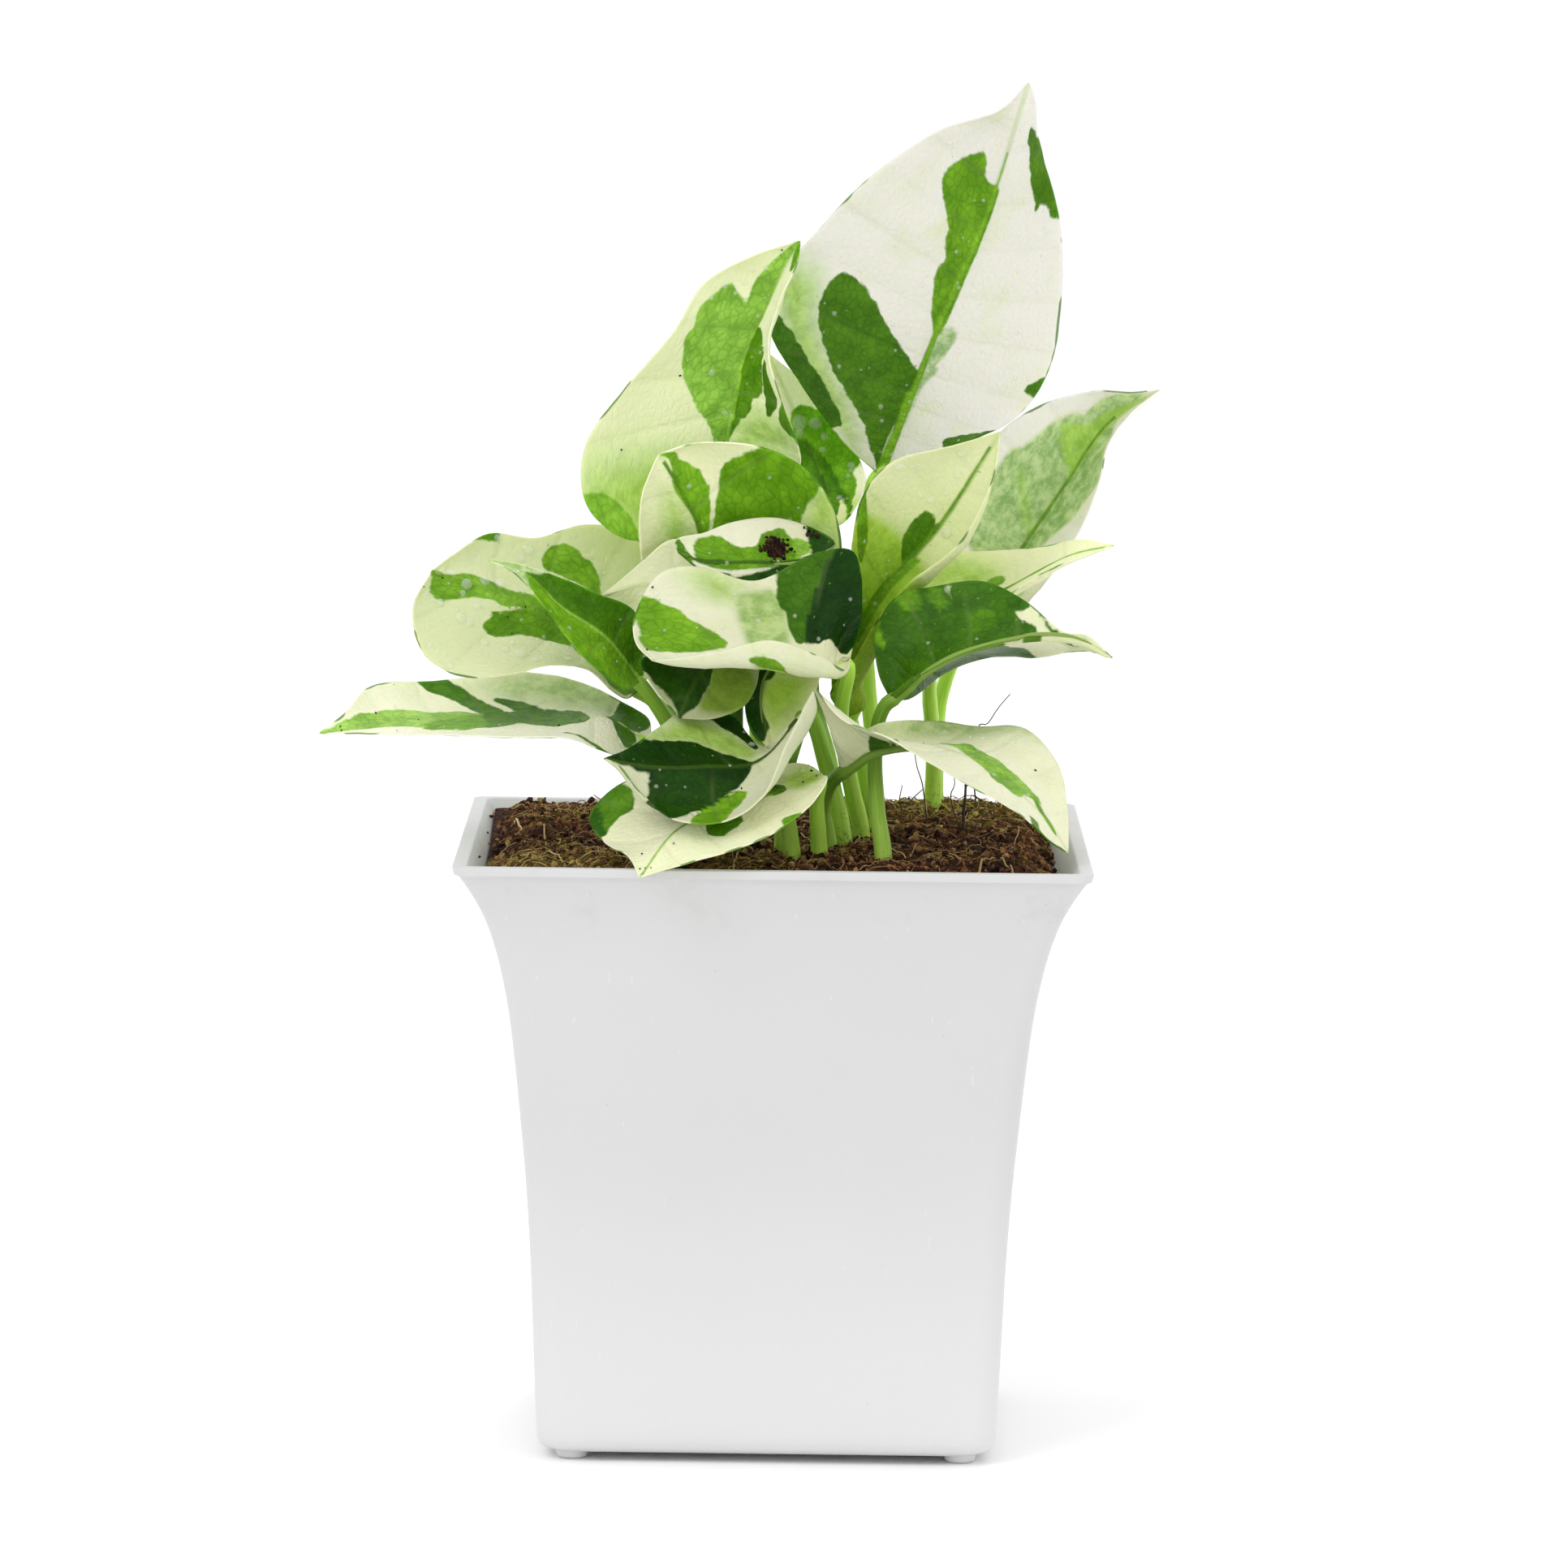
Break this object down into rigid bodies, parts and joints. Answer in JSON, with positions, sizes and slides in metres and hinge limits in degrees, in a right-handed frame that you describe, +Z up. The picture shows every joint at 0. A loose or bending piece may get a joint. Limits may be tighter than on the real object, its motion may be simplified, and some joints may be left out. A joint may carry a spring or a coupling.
{
  "type": "potted foliage plant",
  "caption": "Bushy trailing houseplant with heart-shaped leaves variegated in cream and green, standing in a square flared white plastic pot filled with potting mix.",
  "frame": {"origin": "middle of the plane that the pot stands on, at the level of its feet", "axes": "+X to the right and +Y to the back as the picture shows the plant, +Z up"},
  "size_m": [0.1394, 0.11, 0.2256],
  "materials": {
    "pot": "satin white moulded plastic with faint scuffs",
    "soil": "loose brown coir and peat crumbs with dry fibres",
    "leaf": "smooth waxy leaf, cream with green patches and a thin green edge",
    "stalk": "smooth green leaf stalk"
  },
  "bodies": {
    "root": {"pot": "pot", "potting_mix": "soil", "leaf_01": "leaf", "leaf_02": "leaf", "leaf_03": "leaf", "leaf_04": "leaf", "leaf_05": "leaf", "leaf_06": "leaf", "leaf_07": "leaf", "leaf_08": "leaf", "leaf_09": "leaf", "leaf_10": "leaf", "leaf_11": "leaf", "leaf_12": "leaf", "leaf_13": "leaf", "leaf_14": "leaf", "leaf_15": "leaf", "leaf_16": "leaf", "leaf_17": "leaf", "leaf_18": "leaf", "leaf_19": "leaf", "stalk_01": "stalk", "stalk_02": "stalk", "stalk_03": "stalk", "stalk_04": "stalk", "stalk_05": "stalk", "stalk_06": "stalk", "stalk_07": "stalk", "stalk_08": "stalk", "stalk_09": "stalk", "stalk_10": "stalk", "stalk_11": "stalk", "stalk_12": "stalk", "stalk_13": "stalk", "stalk_14": "stalk", "stalk_15": "stalk", "stalk_16": "stalk", "stalk_17": "stalk", "stalk_18": "stalk", "stalk_19": "stalk"}
  },
  "joints": []
}
